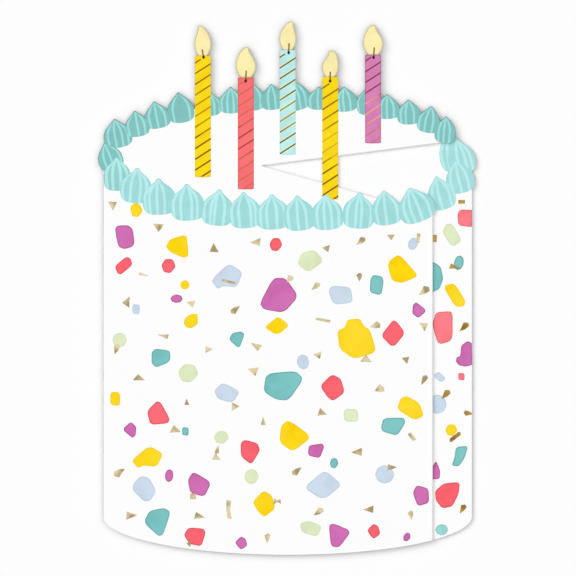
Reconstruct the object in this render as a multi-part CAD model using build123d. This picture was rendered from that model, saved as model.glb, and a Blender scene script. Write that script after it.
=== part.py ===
from build123d import *
import os
from math import cos, radians, sin, tan

# A die-cut birthday card in the shape of an iced cake with candles. It is one sheet of card,
# folded once down the straight left side of the cake. It lies on its back panel, and the front
# panel has sprung open by a small angle. A slice is cut out of the front panel alone, so that
# the inside of the back panel shows there. X runs across the cake, Y up to the candles and Z out
# of the card. Lengths are millimetres, angles degrees.

# Sheet and fold
sheet_thickness = 0.4
fold_inner_radius = 0.1
fold_top_drop = 1.8
spring_angle = 0.1

# Cake body: straight sides, a curved bottom and a curved top behind the icing
cake_width = 122.8
cake_height = 117.1
bottom_drop = 12.7
top_rise = 21.7

# Slice cut from the front panel: its point, its two edges across the top and its strip of side
slice_point_offset = 8.6
slice_point_drop = 0.2
slice_back_angle = 7.3
slice_front_angle = 15.6
slice_side_width = 13.1

# Candles and flames
candle_width = 5.3
candle_rise = 38.3
flame_width = 6.0
flame_height = 10.0

# How far a cut runs past what it cuts
cut_overrun = 20.0

# Worked out from the sizes above
half_width = cake_width / 2
ring_middle = cake_height
fold_outer_radius = fold_inner_radius + sheet_thickness
fold_line = fold_outer_radius - half_width
fold_top = ring_middle - fold_top_drop
fold_axis_height = fold_outer_radius

# Each candle: its middle as a share of the half width, its foot and top as shares of the rise
candle_shares = (
    (-0.460, -0.100, 0.950),
    (-0.227, -0.205, 0.762),
    (0.000, 0.095, 1.000),
    (0.231, -0.295, 0.766),
    (0.463, 0.195, 0.960),
)
bridge_candle = 3

# Each flame: shares of the flame's width and height, how far its tip is off its middle as a share
# of its own width, how broad its tip is beside a slim one, and the side that the tip bends to
flame_shares = (
    (0.94, 1.015, 0.18, 1.0, -1),
    (1.12, 1.020, 0.04, 1.0, 1),
    (0.94, 0.965, 0.20, 1.2, 1),
    (0.93, 0.885, -0.14, 2.0, -1),
    (1.11, 0.995, 0.02, 1.1, 1),
)

# Outline of a flame with its tip bent to the right, as curves from its left foot round to its right
# foot: width shares from its middle, height shares, and the part that each point takes of the tip's
# offset and of its breadth
flame_curve_shares = (
    ((-0.22, 0.0, 0, 0), (-0.38, 0.07, 0, 0), (-0.50, 0.22, 0, 0), (-0.50, 0.40, 0, 0)),
    ((-0.50, 0.40, 0, 0), (-0.50, 0.64, 0, 0), (-0.28, 0.99, 1, 0), (0.0, 1.0, 1, 0)),
    ((0.0, 1.0, 1, 0), (0.0, 1.0, 1, 0.09), (0.0, 0.98, 1, 0.14), (0.0, 0.93, 1, 0.12)),
    ((0.0, 0.93, 1, 0.12), (0.0, 0.80, 1, 0.08), (0.50, 0.62, 0, 0), (0.50, 0.38, 0, 0)),
    ((0.50, 0.38, 0, 0), (0.50, 0.20, 0, 0), (0.38, 0.07, 0, 0), (0.24, 0.0, 0, 0)),
)
flame_root_shares = ((0.24, 0.0), (0.24, -0.05), (-0.22, -0.05), (-0.22, 0.0))

# Piped icing: each dollop's tip and foot, from the ring's middle, and its width, all as shares of
# the half width of the cake. The back row stands on both panels, and its last dollop ends the front
# panel. The slice row stands on the back panel, and the two beside the cut on the front panel.
back_dollop_shares = (
    (-0.995, 0.120, -0.940, -0.025, 0.135),
    (-0.940, 0.250, -0.910, 0.095, 0.155),
    (-0.830, 0.295, -0.805, 0.155, 0.130),
    (-0.725, 0.345, -0.695, 0.200, 0.140),
    (-0.595, 0.395, -0.570, 0.230, 0.145),
    (-0.435, 0.405, -0.425, 0.265, 0.140),
    (-0.310, 0.425, -0.305, 0.280, 0.130),
    (-0.200, 0.450, -0.190, 0.295, 0.140),
    (-0.090, 0.440, -0.075, 0.300, 0.130),
    (0.015, 0.465, 0.050, 0.295, 0.170),
    (0.170, 0.425, 0.175, 0.300, 0.140),
    (0.305, 0.425, 0.320, 0.290, 0.130),
    (0.440, 0.430, 0.445, 0.270, 0.140),
    (0.540, 0.385, 0.545, 0.250, 0.130),
    (0.655, 0.355, 0.660, 0.220, 0.130),
    (0.780, 0.320, 0.755, 0.175, 0.125),
    (0.860, 0.265, 0.850, 0.120, 0.115),
)
slice_dollop_shares = (
    (0.875, 0.190, 0.910, -0.035, 0.145),
    (0.915, 0.140, 0.965, -0.045, 0.150),
    (0.910, 0.025, 0.955, -0.150, 0.155),
    (0.805, -0.060, 0.855, -0.240, 0.150),
)
cut_edge_dollop_shares = (
    (0.660, -0.125, 0.725, -0.305, 0.200),
    (0.520, -0.140, 0.545, -0.325, 0.165),
)

# Right half of a dollop's outline: shares of its width from its middle line, shares of its height
dollop_flank_shares = ((0.04, 0.985), (0.13, 0.86), (0.50, 0.70), (0.50, 0.40))
dollop_foot_shares = ((0.50, 0.40), (0.51, 0.10), (0.40, 0.0), (0.0, 0.0))
dollop_tip_shares = ((-0.04, 0.985), (-0.02, 1.005), (0.02, 1.005), (0.04, 0.985))


def cake_point(across_share, up_share):
    """A point on the panel, in shares of the half width from the middle of the icing ring."""
    return Vector(across_share * half_width, ring_middle + up_share * half_width)


def dollop(tip_across, tip_up, foot_across, foot_up, width_share):
    """One dollop of piped icing, rounded at its foot and drawn up to a blunt tip."""
    foot = cake_point(foot_across, foot_up)
    rise = cake_point(tip_across, tip_up) - foot
    across = Vector(rise.Y, -rise.X).normalized() * (width_share * half_width)

    def curve(shares, side):
        return Bezier(*[foot + across * (side * u) + rise * v for u, v in shares])

    flanks = [curve(dollop_flank_shares, side) for side in (1, -1)]
    feet = [curve(dollop_foot_shares, side) for side in (1, -1)]
    return make_face(flanks + feet + [curve(dollop_tip_shares, 1)])


def candle(middle_share, foot_share, top_share):
    """One straight candle, from its foot on the cake to its top."""
    height = (top_share - foot_share) * candle_rise
    middle_up = ring_middle + (top_share + foot_share) / 2 * candle_rise
    return Pos(middle_share * half_width, middle_up) * Rectangle(candle_width, height)


def flame(candle_row, flame_row):
    """The flame on one candle: a drop with a round belly, a bent tip and one hollow side."""
    width_share, height_share, tip_share, breadth_share, side = flame_row
    width = width_share * flame_width
    height = height_share * flame_height
    middle = candle_row[0] * half_width
    candle_top = ring_middle + candle_row[2] * candle_rise

    def point(u, v, lean=0, spread=0):
        across = u + lean * tip_share + spread * breadth_share
        return Vector(middle + side * across * width, candle_top + v * height)

    curves = [Bezier(*[point(*share) for share in shares]) for shares in flame_curve_shares]
    root = Polyline(*[point(*share) for share in flame_root_shares])
    return make_face(curves + [root])


def cake_body():
    """Cake body behind the icing, squared off below. The curved bottom is cut later."""
    side_height = ring_middle + bottom_drop
    sides = Pos(0, ring_middle - side_height / 2) * Rectangle(cake_width, side_height)
    return sides + Pos(0, ring_middle) * Ellipse(half_width, top_rise)


def fold_waste():
    """Strip beside the fold line, where the sheet leaves the panel and turns up into the bend."""
    height = fold_top + bottom_drop + cut_overrun
    return Pos(fold_line - cut_overrun / 2, fold_top - height / 2) * Rectangle(cut_overrun, height)


def slice_cut():
    """Slice seen from above: a wedge across the cake's top, up to the foot of the back row's last
    dollop, and a strip down its side."""
    point = Vector(-slice_point_offset, ring_middle - slice_point_drop)
    far_side = half_width + cut_overrun
    strip_side = half_width - slice_side_width
    icing_end = cake_point(*back_dollop_shares[-1][2:4]).X
    back_reach = point.Y + (icing_end - point.X) * tan(radians(slice_back_angle))
    front_reach = point.Y - (strip_side - point.X) * tan(radians(slice_front_angle))
    above = ring_middle + top_rise + cut_overrun
    below = -bottom_drop - cut_overrun
    corners = (
        point,
        (icing_end, back_reach),
        (icing_end, above),
        (far_side, above),
        (far_side, below),
        (strip_side, below),
        (strip_side, front_reach),
    )
    return make_face(Polyline(*corners, close=True))


def bottom_waste():
    """What lies below the curved bottom of the cake, cut from both panels and the bend at once."""
    depth = bottom_drop + cut_overrun
    waste = Pos(0, -depth / 2) * Rectangle(cake_width + cut_overrun, depth)
    height = cake_width * sin(radians(spring_angle)) + cut_overrun
    return extrude(waste - Ellipse(half_width, bottom_drop), amount=height, both=True)


def fold_bend():
    """Bend of the sheet along the fold line, from the back panel round to the front panel."""
    turn = 180 - spring_angle
    middle = (fold_line, fold_axis_height)
    start = 90 + spring_angle
    outer = CenterArc(middle, fold_outer_radius, start, turn)
    inner = CenterArc(middle, fold_inner_radius, start, turn)
    section = make_face([outer, inner, Line(outer @ 0, inner @ 0), Line(outer @ 1, inner @ 1)])
    top_end = Plane((0, fold_top, 0), x_dir=(1, 0, 0), z_dir=(0, -1, 0))
    return extrude(top_end * section, amount=fold_top + bottom_drop)


def folded_card():
    """The whole sheet: back panel, bend and front panel as one solid."""
    outline = cake_body()
    for row in back_dollop_shares:
        outline += dollop(*row)
    for candle_row, flame_row in zip(candle_shares, flame_shares):
        outline += candle(*candle_row)
        outline += flame(candle_row, flame_row)
    outline -= fold_waste()

    back_panel = outline
    for row in slice_dollop_shares:
        back_panel += dollop(*row)

    front_panel = outline - slice_cut()
    for row in (back_dollop_shares[-1], *cut_edge_dollop_shares):
        front_panel += dollop(*row)
    front_panel += candle(*candle_shares[bridge_candle])

    along = Vector(cos(radians(spring_angle)), 0, sin(radians(spring_angle)))
    outward = Vector(-along.Z, 0, along.X)
    front_start = Vector(fold_line, 0, fold_axis_height) + outward * fold_inner_radius
    front_plane = Plane(front_start, x_dir=along, z_dir=outward)

    sheet = extrude(back_panel, amount=sheet_thickness)
    sheet += fold_bend()
    sheet += extrude(front_plane * Pos(-fold_line, 0) * front_panel, amount=sheet_thickness)
    sheet -= bottom_waste()
    middle = sheet.bounding_box().center()
    return Pos(-middle.X, -middle.Y, 0) * sheet


os.makedirs("parts", exist_ok=True)
export_step(folded_card(), "parts/folded_card.step")
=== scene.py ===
"""Looks of a closed die-cut birthday card in the shape of an iced cake.

The folded sheet is the CAD solid. Its print is modelled as thin films of ink and foil, which lie on
the front panel and, where the slice is cut away, on the inside of the back panel.
"""

from math import atan, ceil, cos, pi, radians, sin, tan

import bpy
from bpy.props import FloatProperty, FloatVectorProperty, IntProperty, PointerProperty
from mathutils import Euler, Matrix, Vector
from mathutils.geometry import interpolate_bezier


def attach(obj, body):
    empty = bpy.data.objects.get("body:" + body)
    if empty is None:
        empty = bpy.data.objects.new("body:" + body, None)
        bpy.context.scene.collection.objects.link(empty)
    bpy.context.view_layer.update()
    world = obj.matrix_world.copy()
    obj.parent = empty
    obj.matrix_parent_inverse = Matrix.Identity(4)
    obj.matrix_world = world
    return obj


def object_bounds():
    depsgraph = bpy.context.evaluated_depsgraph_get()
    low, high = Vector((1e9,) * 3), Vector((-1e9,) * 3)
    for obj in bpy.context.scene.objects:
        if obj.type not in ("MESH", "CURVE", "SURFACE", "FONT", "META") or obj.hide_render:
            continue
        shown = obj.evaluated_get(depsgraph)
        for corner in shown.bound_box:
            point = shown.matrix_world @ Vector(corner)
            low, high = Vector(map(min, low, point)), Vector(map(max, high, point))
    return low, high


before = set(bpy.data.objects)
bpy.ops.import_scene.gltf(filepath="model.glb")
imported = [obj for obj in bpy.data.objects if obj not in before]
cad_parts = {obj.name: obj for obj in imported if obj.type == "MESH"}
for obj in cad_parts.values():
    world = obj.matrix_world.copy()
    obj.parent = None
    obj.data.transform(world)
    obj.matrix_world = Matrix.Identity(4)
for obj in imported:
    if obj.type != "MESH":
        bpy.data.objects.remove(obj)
CAD_LOW, CAD_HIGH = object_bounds()

bl_info = {
    "name": "Birthday Card Print",
    "version": (1, 0, 0),
    "blender": (4, 5, 0),
    "location": "View3D > Sidebar > Card",
    "description": "Finishes a die-cut birthday card shaped as an iced cake",
    "category": "Object",
}

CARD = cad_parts["folded_card"]
BODY = "root"

# Sizes that the print shares with the cut sheet, in metres
BOTTOM_DROP = 0.0127
CAKE_HEIGHT = 0.1171
CANDLE_WIDTH = 0.0053
CANDLE_RISE = 0.0383
FLAME_WIDTH = 0.006
FLAME_HEIGHT = 0.010
SLICE_POINT_OFFSET = 0.0086
SLICE_POINT_DROP = 0.0002
SLICE_BACK_ANGLE = radians(7.3)
SLICE_FRONT_ANGLE = radians(15.6)
SLICE_SIDE_WIDTH = 0.0131
SLICE_REACH_SHARE = 0.850

# Reading the two printed faces from the mesh: how far up a face has to look, and which part of the
# half width is clear of the bend
UPWARD_NORMAL = 0.99
CLEAR_OF_BEND_SHARE = 0.9

# How light the edge of a piece of confetti or a candle is, as a share of its own ink
RIM_INK_SHARES = {
    "yellow": 0.94,
    "coral": 0.74,
    "pale_coral": 0.82,
    "purple": 0.74,
    "teal": 0.78,
    "pale_teal": 0.90,
    "pale_blue": 0.94,
    "pale_green": 0.96,
    "candle_yellow": 0.94,
    "candle_coral": 0.80,
    "candle_blue": 0.94,
    "candle_purple": 0.78,
}

# How much the tone of an ink varies: by itself, inside a rim, on the icing and on the slice's icing,
# and how much white shows through the thinnest ink of the confetti
INK_MOTTLE_SHARE = 0.05
RIMMED_MOTTLE_SHARE = 0.06
ICING_MOTTLE_SHARE = 0.03
SLICE_MOTTLE_SHARE = 0.02
WASH_SHARE = 0.025

# Darkest and lightest tone of the sheet and of the painted shade beside the slice's cut, and darkest tone of
# the floor, as shares of their colours
SHEET_TONE_SHARES = (0.985, 1.005)
CUT_SHADE_TONE_SHARES = (0.95, 1.03)
FLOOR_TONE_SHARE = 0.997

# Patterns in the materials, each as a number of features to a metre and their detail
SHEET_MOTTLE = (90, 3)
INK_MOTTLE = (260, 4)
INK_WASH = (60, 2)
CUT_SHADE_STREAKS = (900, 3)
# The foil sweep spreads a painted reflection over the flecks.
FOIL_GLINT_SWEEP = (300, 1)
STRIPE_WAVER = (240, 2)
FLOOR_MOTTLE = (3, 2)
PAPER_GRAIN = (2600, 4)
FOIL_GRAIN = (1800, 3)

# Stretches of a pattern's values over which a finish changes
MOTTLE_SPAN = (0.35, 0.65)
WASH_SPAN = (0.42, 0.66)
SWEEP_SPAN = (0.38, 0.62)
GRAIN_SPAN = (0.3, 0.7)

# How far up a face looks where the bare core ends and where the coating is whole, and how deep the
# grain is in metres
CUT_EDGE_SPAN = (0.2, 0.6)
GRAIN_DEPTH = 0.00002

# Where a Mix node keeps its sockets for colours
MIX_FIRST, MIX_SECOND, MIX_RESULT = 6, 7, 2

# How many films high each print stands, so that what is printed later lies on top. Icing takes this
# many for its rim, one more for its body and two more for its ridges.
CUT_SHADE_LAYERS = 0.5
CONFETTI_LAYERS = 1
FLECK_LAYERS = 2
BACK_ICING_LAYERS = 1
SLICE_ICING_LAYERS = 1
FRONT_ICING_LAYERS = 5
CANDLE_LAYERS = 4
LINE_LAYERS = 5
STRIPE_LAYERS = 6
FLAME_LAYERS = 4
WICK_LINE_LAYERS = 7
WICK_TIP_LAYERS = 8

# Curves are drawn with this many points, and a cutter reaches this far above and below a film
CURVE_POINTS = 9
TIP_POINTS = 5
OVAL_POINTS = 16
CUTTER_REACH = 0.001

# Candles: middle in shares of the half width, foot and top in shares of the candles' rise
CANDLE_SHARES = (
    (-0.460, -0.100, 0.950),
    (-0.227, -0.205, 0.762),
    (0.000, 0.095, 1.000),
    (0.231, -0.295, 0.766),
    (0.463, 0.195, 0.960),
)
CANDLE_INKS = ("candle_yellow", "candle_coral", "candle_blue", "candle_yellow", "candle_purple")
CANDLE_FOOT_SAG_SHARE = 0.065

# Foil of each candle, with its reflection painted in: how far up the candle its middle tone lies, as a share
# of the candle's height, then the tones at its top, middle and foot, lighter where the foil catches the light
# and darker where it turns away
CANDLE_FOIL_REFLECTION_SHARES = (
    (0.54, "gold", "gold_soft", "gold_deep"),
    (0.45, "copper_pale", "copper_deep", "copper_pale"),
    (0.40, "olive_deep", "olive_pale", "olive_deep"),
    (0.48, "gold", "gold_pale", "gold_deep"),
    (0.38, "rose_deep", "rose_pale", "rose"),
)
FOIL_REFLECTION_BAND_SHARE = 0.09
FOIL_REFLECTION_FADE_SHARE = 0.12
FOIL_WAVER_SHARE = 0.06

# Candles whose foil stripes have a pale line on either side, a painted glint of the foil
GLINT_CANDLES = (3,)

# Each candle's first foil stripe: where it starts, as a share of the pitch below the candle's top,
# and how far it runs across the candle
STRIPE_START_SHARES = (
    (0.75, 0.36),
    (0.80, 1.00),
    (0.76, 0.34),
    (1.135, 0.45),
    (0.69, 0.40),
)

# Wicks: lean at the top and foot, rise above and sink below the candle's top, all in candle widths,
# and how much taller than wide the burnt dot at the foot is
WICK_SHARES = (
    (-0.045, 0.040, 0.40, 0.08),
    (0.025, -0.010, 0.43, 0.22),
    (0.090, 0.060, 0.43, 0.16),
    (0.000, -0.010, 0.33, 0.25),
    (0.080, 0.035, 0.46, 0.17),
)
WICK_TIP_STRETCH = 1.3

# Flames: shares of the flame's width and height, the tip's offset and breadth, and the side that it
# bends to
FLAME_SHARES = (
    (0.94, 1.015, 0.18, 1.0, -1),
    (1.12, 1.020, 0.04, 1.0, 1),
    (0.94, 0.965, 0.20, 1.2, 1),
    (0.93, 0.885, -0.14, 2.0, -1),
    (1.11, 0.995, 0.02, 1.1, 1),
)

# Outline of a flame: width and height shares, and what each point takes of the tip's offset and breadth
FLAME_CURVE_SHARES = (
    ((-0.22, 0.0, 0, 0), (-0.38, 0.07, 0, 0), (-0.50, 0.22, 0, 0), (-0.50, 0.40, 0, 0)),
    ((-0.50, 0.40, 0, 0), (-0.50, 0.64, 0, 0), (-0.28, 0.99, 1, 0), (0.0, 1.0, 1, 0)),
    ((0.0, 1.0, 1, 0), (0.0, 1.0, 1, 0.09), (0.0, 0.98, 1, 0.14), (0.0, 0.93, 1, 0.12)),
    ((0.0, 0.93, 1, 0.12), (0.0, 0.80, 1, 0.08), (0.50, 0.62, 0, 0), (0.50, 0.38, 0, 0)),
    ((0.50, 0.38, 0, 0), (0.50, 0.20, 0, 0), (0.38, 0.07, 0, 0), (0.24, 0.0, 0, 0)),
)

# Right half of a dollop of icing: shares of its width from its middle line, shares of its height
DOLLOP_FLANK_SHARES = ((0.04, 0.985), (0.13, 0.86), (0.50, 0.70), (0.50, 0.40))
DOLLOP_FOOT_SHARES = ((0.50, 0.40), (0.51, 0.10), (0.40, 0.0), (0.0, 0.0))
DOLLOP_TIP_SHARES = ((-0.04, 0.985), (-0.02, 1.005), (0.02, 1.005), (0.04, 0.985))

# The same for a broad dollop of the front row, which has straighter flanks and a flatter foot
BROAD_FLANK_SHARES = ((0.06, 0.985), (0.12, 0.82), (0.52, 0.78), (0.50, 0.40))
BROAD_FOOT_SHARES = ((0.50, 0.40), (0.51, 0.08), (0.40, 0.0), (0.0, 0.0))
BROAD_TIP_SHARES = ((-0.06, 0.985), (-0.03, 1.008), (0.03, 1.008), (0.06, 0.985))

# Ridges of the icing: where they end at the foot, and how wide they start at the tip
RIDGE_FOOT_SHARES = (0.46, -0.05)
RIDGE_START_SHARE = 0.55

# Icing: each dollop's tip and foot from the ring's middle and its width, in shares of the half
# width, then its piped ridges in shares of its own half width. A later dollop lies over an earlier.
BACK_ICING_SHARES = (
    (-0.940, 0.250, -0.910, 0.095, 0.155, (-0.70, -0.20, 0.30, 0.72)),
    (-0.830, 0.295, -0.805, 0.155, 0.130, (-0.80, 0.00, 0.60)),
    (-0.725, 0.345, -0.695, 0.200, 0.140, (-0.65, -0.05, 0.60)),
    (-0.595, 0.395, -0.570, 0.230, 0.145, (-0.60, 0.65)),
    (-0.435, 0.405, -0.425, 0.265, 0.140, (0.45, 0.88)),
    (-0.310, 0.425, -0.305, 0.280, 0.130, (-0.80, -0.32, 0.22, 0.65)),
    (-0.200, 0.450, -0.190, 0.295, 0.140, (0.67,)),
    (-0.090, 0.440, -0.075, 0.300, 0.130, (-0.40, 0.20)),
    (0.015, 0.465, 0.050, 0.295, 0.170, (0.30, 0.70)),
    (0.170, 0.425, 0.175, 0.300, 0.140, (-0.75, -0.15)),
    (0.305, 0.425, 0.320, 0.290, 0.130, (-0.60, -0.20, 0.38)),
    (0.440, 0.430, 0.445, 0.270, 0.140, (-0.90,)),
    (0.540, 0.385, 0.545, 0.250, 0.130, (-0.60, -0.08, 0.50)),
    (0.655, 0.355, 0.660, 0.220, 0.130, (-0.70, -0.28, 0.42)),
    (0.780, 0.320, 0.755, 0.175, 0.125, (-0.82, -0.28, 0.38)),
    (0.860, 0.265, 0.850, 0.120, 0.115, (-0.62, -0.12, 0.44)),
    (-0.995, 0.120, -0.940, -0.025, 0.135, (-0.50, 0.05, 0.80)),
)
SLICE_ICING_SHARES = (
    (0.875, 0.190, 0.910, -0.035, 0.145, (-0.85, -0.38)),
    (0.915, 0.140, 0.965, -0.045, 0.150, (-0.30, 0.25, 0.66)),
    (0.910, 0.025, 0.955, -0.150, 0.155, (-0.70, -0.10, 0.50)),
    (0.805, -0.060, 0.855, -0.240, 0.150, (-0.65, -0.17, 0.60, 0.95)),
)
FRONT_ICING_SHARES = (
    (-0.929, 0.041, -0.922, -0.139, 0.147, (-0.80, -0.34, 0.26, 0.74)),
    (-0.815, -0.016, -0.829, -0.206, 0.168, (-0.86, -0.34, 0.30, 0.70)),
    (-0.702, -0.073, -0.693, -0.269, 0.180, (-0.86, -0.60, -0.14, 0.32)),
    (-0.547, -0.103, -0.541, -0.301, 0.180, (-0.86, -0.42, 0.26, 0.60)),
    (-0.370, -0.133, -0.389, -0.328, 0.171, (-0.84, -0.42, -0.16, 0.46)),
    (-0.240, -0.147, -0.227, -0.342, 0.171, (-0.84, -0.40, 0.38, 0.70)),
    (-0.086, -0.160, -0.075, -0.349, 0.182, (-0.76, -0.38, 0.22, 0.72)),
    (0.050, -0.166, 0.070, -0.355, 0.168, (-0.72, -0.10, 0.46)),
    (0.205, -0.160, 0.221, -0.351, 0.171, (-0.66, -0.20, 0.26, 0.74)),
    (0.392, -0.149, 0.379, -0.344, 0.171, (-0.72, -0.16, 0.20, 0.80)),
)
CUT_EDGE_ICING_SHARES = (
    (0.520, -0.140, 0.545, -0.325, 0.165, (-0.66, -0.06, 0.72)),
    (0.660, -0.125, 0.725, -0.305, 0.200, (-0.70, -0.33, 0.11, 0.66)),
)

# Outlines of the confetti and foil flecks, in shares of each one's own width and height
CHIP_FORM_SHARES = {
    "pebble": ((-0.50, 0.05), (-0.22, 0.48), (0.28, 0.46), (0.50, -0.05), (0.12, -0.50), (-0.34, -0.42)),
    "stone": ((-0.50, 0.25), (-0.10, 0.50), (0.22, 0.42), (0.50, -0.05), (0.15, -0.48), (-0.35, -0.45)),
    "fan": (
        (-0.50, 0.00), (-0.32, 0.32), (0.24, 0.50), (0.42, 0.46),
        (0.50, -0.42), (0.26, -0.50), (-0.32, -0.24),
    ),
    "kite": ((-0.50, -0.10), (0.00, 0.50), (0.16, 0.44), (0.50, 0.00), (0.10, -0.48), (-0.08, -0.50)),
    "tile": (
        (-0.50, 0.22), (-0.34, 0.50), (0.36, 0.46), (0.50, 0.20),
        (0.46, -0.40), (0.26, -0.50), (-0.44, -0.42),
    ),
    "gem": ((-0.50, -0.20), (-0.45, 0.32), (-0.22, 0.50), (0.50, -0.03), (-0.09, -0.50)),
    "petal": (
        (-0.48, 0.07), (-0.43, 0.29), (-0.09, 0.52), (0.52, -0.16),
        (0.49, -0.28), (0.02, -0.48), (-0.34, -0.40),
    ),
    "bean": ((-0.50, -0.17), (0.06, 0.50), (0.50, 0.14), (0.30, -0.44), (-0.11, -0.38), (-0.29, -0.50)),
    "hexagon": ((-0.15, 0.50), (0.17, 0.50), (0.51, -0.03), (0.13, -0.51), (-0.40, -0.41), (-0.50, -0.23)),
    "slab": ((-0.42, 0.41), (0.31, 0.50), (0.50, 0.23), (0.14, -0.49), (-0.16, -0.48), (-0.49, -0.20)),
    "shield": ((-0.50, 0.37), (-0.29, 0.50), (0.34, 0.37), (0.50, 0.09), (0.05, -0.50), (-0.48, -0.17)),
    "cone": ((-0.46, 0.06), (0.04, 0.51), (0.50, -0.25), (0.41, -0.42), (-0.32, -0.48)),
    "loaf": ((-0.50, 0.11), (-0.28, 0.47), (0.39, 0.42), (0.49, 0.22), (0.30, -0.44), (-0.23, -0.33)),
    "nugget": ((-0.50, 0.06), (-0.04, 0.49), (0.31, 0.33), (0.47, -0.18), (0.00, -0.50), (-0.22, -0.34)),
    "flag": (
        (-0.50, 0.30), (-0.30, 0.50), (0.46, 0.40), (0.50, -0.02),
        (0.38, -0.24), (-0.26, -0.50), (-0.50, -0.28),
    ),
    "mitten": (
        (-0.50, -0.20), (-0.42, 0.20), (0.05, 0.48), (0.50, 0.48),
        (0.50, -0.22), (0.02, -0.50), (-0.30, -0.42),
    ),
    "pennant": (
        (-0.50, 0.15), (-0.15, 0.45), (0.50, 0.50), (0.45, 0.05),
        (0.20, -0.42), (-0.20, -0.50), (-0.46, -0.20),
    ),
    "leaf": ((-0.50, -0.50), (-0.42, 0.15), (0.05, 0.50), (0.50, -0.05), (0.42, -0.48)),
    "strap": ((-0.24, 0.45), (0.50, 0.50), (0.28, -0.10), (-0.08, -0.50), (-0.50, -0.44), (-0.33, -0.08)),
    "tooth": ((-0.51, 0.01), (-0.31, 0.39), (0.23, 0.49), (0.49, 0.36), (0.15, -0.50)),
    "boat": ((-0.48, -0.10), (-0.39, 0.42), (0.41, 0.45), (0.47, 0.19), (0.16, -0.47), (-0.39, -0.27)),
    "cushion": (
        (-0.52, 0.30), (-0.42, 0.49), (0.16, 0.51), (0.39, 0.34),
        (0.49, -0.25), (0.35, -0.42), (-0.05, -0.51), (-0.35, -0.40),
    ),
    "flint": ((-0.48, 0.17), (-0.25, 0.50), (0.51, 0.07), (0.22, -0.50), (-0.37, -0.35)),
    "block": ((-0.49, 0.10), (-0.27, 0.45), (0.43, 0.30), (0.46, -0.36), (-0.20, -0.51)),
    "sail": ((-0.51, 0.39), (-0.32, 0.49), (0.48, 0.17), (-0.07, -0.51), (-0.42, -0.45)),
    "brick": ((-0.49, 0.22), (-0.32, 0.49), (0.40, 0.41), (0.49, -0.38), (-0.28, -0.49)),
    "shell": ((-0.49, 0.10), (-0.15, 0.50), (0.51, 0.06), (0.22, -0.49), (-0.34, -0.31)),
    "egg": (
        (-0.48, 0.19), (-0.17, 0.49), (0.18, 0.43), (0.49, -0.09),
        (0.23, -0.45), (-0.04, -0.47), (-0.50, -0.05),
    ),
    "bud": ((-0.50, -0.13), (-0.32, 0.40), (0.16, 0.51), (0.50, 0.01), (-0.08, -0.51)),
    "fin": ((-0.49, 0.30), (-0.10, 0.47), (0.47, 0.16), (0.28, -0.48), (-0.39, -0.24)),
    "drop": ((-0.47, -0.03), (-0.34, 0.40), (-0.14, 0.49), (0.30, 0.23), (0.47, -0.30), (0.14, -0.47)),
    "seed": ((-0.50, 0.11), (-0.29, 0.49), (0.03, 0.46), (0.49, -0.23), (0.00, -0.50)),
    "plaque": (
        (-0.50, 0.10), (-0.32, 0.47), (0.40, 0.50), (0.50, 0.40),
        (0.50, -0.28), (0.36, -0.42), (-0.05, -0.50), (-0.25, -0.45),
    ),
    "boot": (
        (-0.20, 0.31), (0.15, 0.50), (0.50, 0.39), (0.50, -0.41), (0.09, -0.50),
        (-0.32, -0.45), (-0.50, -0.29), (-0.44, -0.13), (-0.24, -0.09),
    ),
    "capsule": ((-0.50, -0.20), (-0.36, 0.50), (0.38, 0.46), (0.50, 0.10), (0.36, -0.50), (-0.38, -0.46)),
    "oval": (
        (-0.50, 0.02), (-0.34, 0.37), (0.04, 0.50), (0.38, 0.34),
        (0.50, -0.04), (0.33, -0.38), (-0.04, -0.50), (-0.38, -0.32),
    ),
    "bumped": (
        (-0.49, 0.20), (-0.29, 0.28), (-0.24, 0.47), (0.09, 0.50), (0.19, 0.31),
        (0.34, 0.23), (0.50, -0.25), (0.41, -0.37), (-0.07, -0.50), (-0.44, -0.25),
    ),
    "shard": ((-0.50, -0.46), (0.50, -0.50), (-0.06, 0.50)),
    "bar": ((-0.50, -0.42), (0.46, -0.50), (0.50, 0.44), (-0.44, 0.50)),
    "dart": ((-0.50, 0.28), (0.05, 0.50), (0.50, 0.34), (0.36, -0.06), (-0.10, -0.50)),
    "bow": ((-0.50, 0.40), (-0.05, 0.14), (0.45, 0.50), (0.38, -0.50), (-0.02, -0.14), (-0.42, -0.35)),
    "wave": ((-0.40, 0.50), (0.50, 0.46), (0.20, 0.00), (0.50, -0.50), (-0.30, -0.50), (-0.50, 0.00)),
}

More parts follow.
